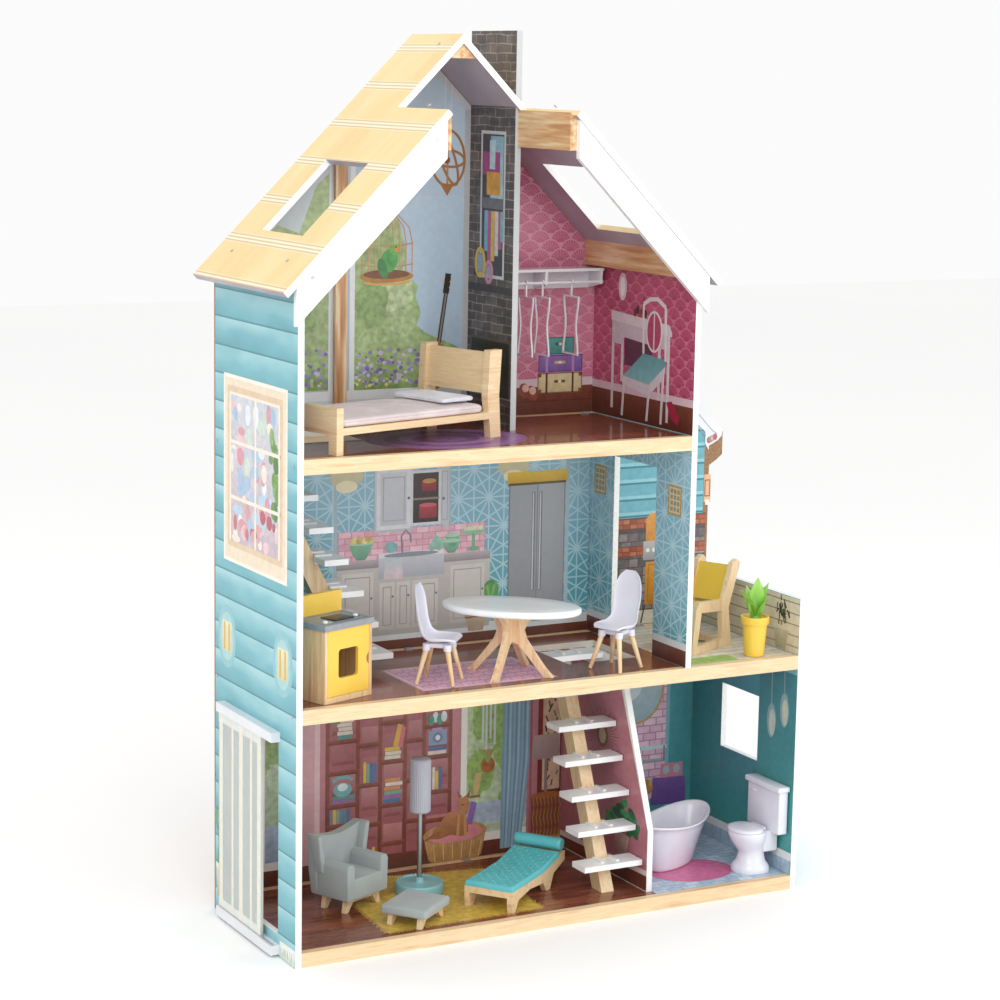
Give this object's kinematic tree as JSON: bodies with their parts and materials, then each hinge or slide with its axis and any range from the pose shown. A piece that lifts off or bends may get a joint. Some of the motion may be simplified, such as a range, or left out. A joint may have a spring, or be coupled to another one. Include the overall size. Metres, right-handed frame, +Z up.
{
  "type": "dollhouse",
  "caption": "Tall open-front wooden dollhouse with a gabled roof, a side balcony, ladder stairs, a sliding side door and loose doll furniture.",
  "frame": {"origin": "middle of the whole model's bounding box at the underside of the base", "axes": "+Z up, +X to the right as seen from the open side, which faces -Y"},
  "size_m": [0.856, 0.306, 1.2302],
  "materials": {
    "print_board": "hardboard and fibreboard with glossy printed paper",
    "white_edge": "smooth white paint",
    "floor_print": "glossy printed dark plank pattern",
    "roof_print": "smooth cream paint with printed plank lines",
    "pine": "clear lacquered solid pine",
    "white_gloss": "polished moulded white",
    "frosted": "frosted clear sheet with printed bars",
    "clear": "clear",
    "steel": "zinc plated",
    "yellow": "satin yellow paint",
    "grey_top": "satin grey",
    "grey_soft": "flocked pale grey",
    "teal_base": "satin light teal",
    "silver": "satin silver",
    "lamp_shade": "satin lilac grey",
    "bed_cloth": "pale pink cotton",
    "pillow_cloth": "white cotton",
    "teal_pad": "moulded turquoise with tufts",
    "pot_yellow": "satin yellow",
    "leaf": "translucent lime green"
  },
  "bodies": {
    "house": {"left_wall": "print_board", "upper_right_wall": "print_board", "lower_right_wall": "print_board", "ground_floor": "floor_print", "kitchen_floor": "floor_print", "attic_floor": "floor_print", "front_rails": "pine", "back_rails": "pine", "ground_back_panel": "print_board", "kitchen_back_panel": "print_board", "attic_back_panel": "print_board", "chimney_partition": "print_board", "bathroom_partition": "print_board", "roof_left_panel": "roof_print", "roof_right_panel": "roof_print", "roof_cleats": "pine", "left_bargeboard": "white_edge", "right_bargeboard": "white_edge", "attic_batten": "pine", "lower_stair_stringer": "pine", "lower_stair_treads": "white_gloss", "upper_stair_stringer": "pine", "upper_stair_treads": "white_gloss", "door_tracks": "white_gloss", "closet_shelf": "white_gloss", "screws": "steel", "panel_clips": "clear"},
    "sliding_door": {"sliding_door": "frosted"},
    "hanger_a": {"hanger_a": "white_gloss"},
    "hanger_b": {"hanger_b": "white_gloss"},
    "hanger_c": {"hanger_c": "white_gloss"},
    "bed": {"bed_frame": "pine"},
    "mattress": {"mattress": "bed_cloth"},
    "pillow": {"pillow": "pillow_cloth"},
    "table": {"table_top": "white_gloss", "table_legs": "pine"},
    "chair_a": {"chair_a_shell": "white_gloss", "chair_a_legs": "pine"},
    "chair_b": {"chair_b_shell": "white_gloss", "chair_b_legs": "pine"},
    "stove": {"stove_cabinet": "pine", "stove_top": "grey_top", "stove_splashback": "yellow"},
    "stove_door": {"stove_door": "yellow"},
    "armchair": {"armchair_body": "grey_soft", "armchair_legs": "pine"},
    "ottoman": {"ottoman_cushion": "grey_soft", "ottoman_legs": "pine"},
    "lamp": {"lamp_base": "teal_base", "lamp_pole": "silver", "lamp_shade": "lamp_shade"},
    "chaise": {"chaise_frame": "pine", "chaise_pad": "teal_pad"},
    "toilet": {"toilet_body": "white_gloss"},
    "toilet_lid": {"toilet_lid": "white_gloss"},
    "bathtub": {"bathtub": "white_gloss"},
    "lounge_chair": {"lounge_frame": "pine", "lounge_panels": "yellow"},
    "plant": {"plant_pot": "pot_yellow", "plant_leaves": "leaf"}
  },
  "joints": [
    {"name": "sliding_door_slide", "type": "slide", "parent": "house", "child": "sliding_door", "axis": [0, -1, 0], "range_m": [0, 0.039]},
    {"name": "hanger_a_swing", "type": "hinge", "parent": "house", "child": "hanger_a", "pos_m": [0.06, 0.098, 0.876], "axis": [1, 0, 0], "range_deg": [-25, 6]},
    {"name": "hanger_b_swing", "type": "hinge", "parent": "house", "child": "hanger_b", "pos_m": [0.087, 0.098, 0.876], "axis": [1, 0, 0], "range_deg": [-25, 6]},
    {"name": "hanger_c_swing", "type": "hinge", "parent": "house", "child": "hanger_c", "pos_m": [0.135, 0.098, 0.876], "axis": [1, 0, 0], "range_deg": [-25, 6]},
    {"name": "bed_lift", "type": "slide", "parent": "house", "child": "bed", "axis": [0, 0, 1], "range_m": [0, 0.1]},
    {"name": "table_lift", "type": "slide", "parent": "house", "child": "table", "axis": [0, 0, 1], "range_m": [0, 0.1]},
    {"name": "chair_a_lift", "type": "slide", "parent": "house", "child": "chair_a", "axis": [0, 0, 1], "range_m": [0, 0.1]},
    {"name": "chair_b_lift", "type": "slide", "parent": "house", "child": "chair_b", "axis": [0, 0, 1], "range_m": [0, 0.1]},
    {"name": "stove_lift", "type": "slide", "parent": "house", "child": "stove", "axis": [0, 0, 1], "range_m": [0, 0.1]},
    {"name": "armchair_lift", "type": "slide", "parent": "house", "child": "armchair", "axis": [0, 0, 1], "range_m": [0, 0.1]},
    {"name": "ottoman_lift", "type": "slide", "parent": "house", "child": "ottoman", "axis": [0, 0, 1], "range_m": [0, 0.1]},
    {"name": "lamp_lift", "type": "slide", "parent": "house", "child": "lamp", "axis": [0, 0, 1], "range_m": [0, 0.1]},
    {"name": "chaise_lift", "type": "slide", "parent": "house", "child": "chaise", "axis": [0, 0, 1], "range_m": [0, 0.1]},
    {"name": "toilet_lift", "type": "slide", "parent": "house", "child": "toilet", "axis": [0, 0, 1], "range_m": [0, 0.1]},
    {"name": "bathtub_lift", "type": "slide", "parent": "house", "child": "bathtub", "axis": [0, 0, 1], "range_m": [0, 0.1]},
    {"name": "lounge_chair_lift", "type": "slide", "parent": "house", "child": "lounge_chair", "axis": [0, 0, 1], "range_m": [0, 0.1]},
    {"name": "plant_lift", "type": "slide", "parent": "house", "child": "plant", "axis": [0, 0, 1], "range_m": [0, 0.1]},
    {"name": "mattress_lift", "type": "slide", "parent": "bed", "child": "mattress", "axis": [0, 0, 1], "range_m": [0, 0.05]},
    {"name": "pillow_lift", "type": "slide", "parent": "mattress", "child": "pillow", "axis": [0, 0, 1], "range_m": [0, 0.04]},
    {"name": "stove_door_hinge", "type": "hinge", "parent": "stove", "child": "stove_door", "pos_m": [-0.34929, -0.12197, 0.4], "axis": [0, 0, -1], "range_deg": [0, 95]},
    {"name": "toilet_lid_hinge", "type": "hinge", "parent": "toilet", "child": "toilet_lid", "pos_m": [0.364, -0.092, 0.0851], "axis": [0, 1, 0], "range_deg": [0, 80]}
  ]
}
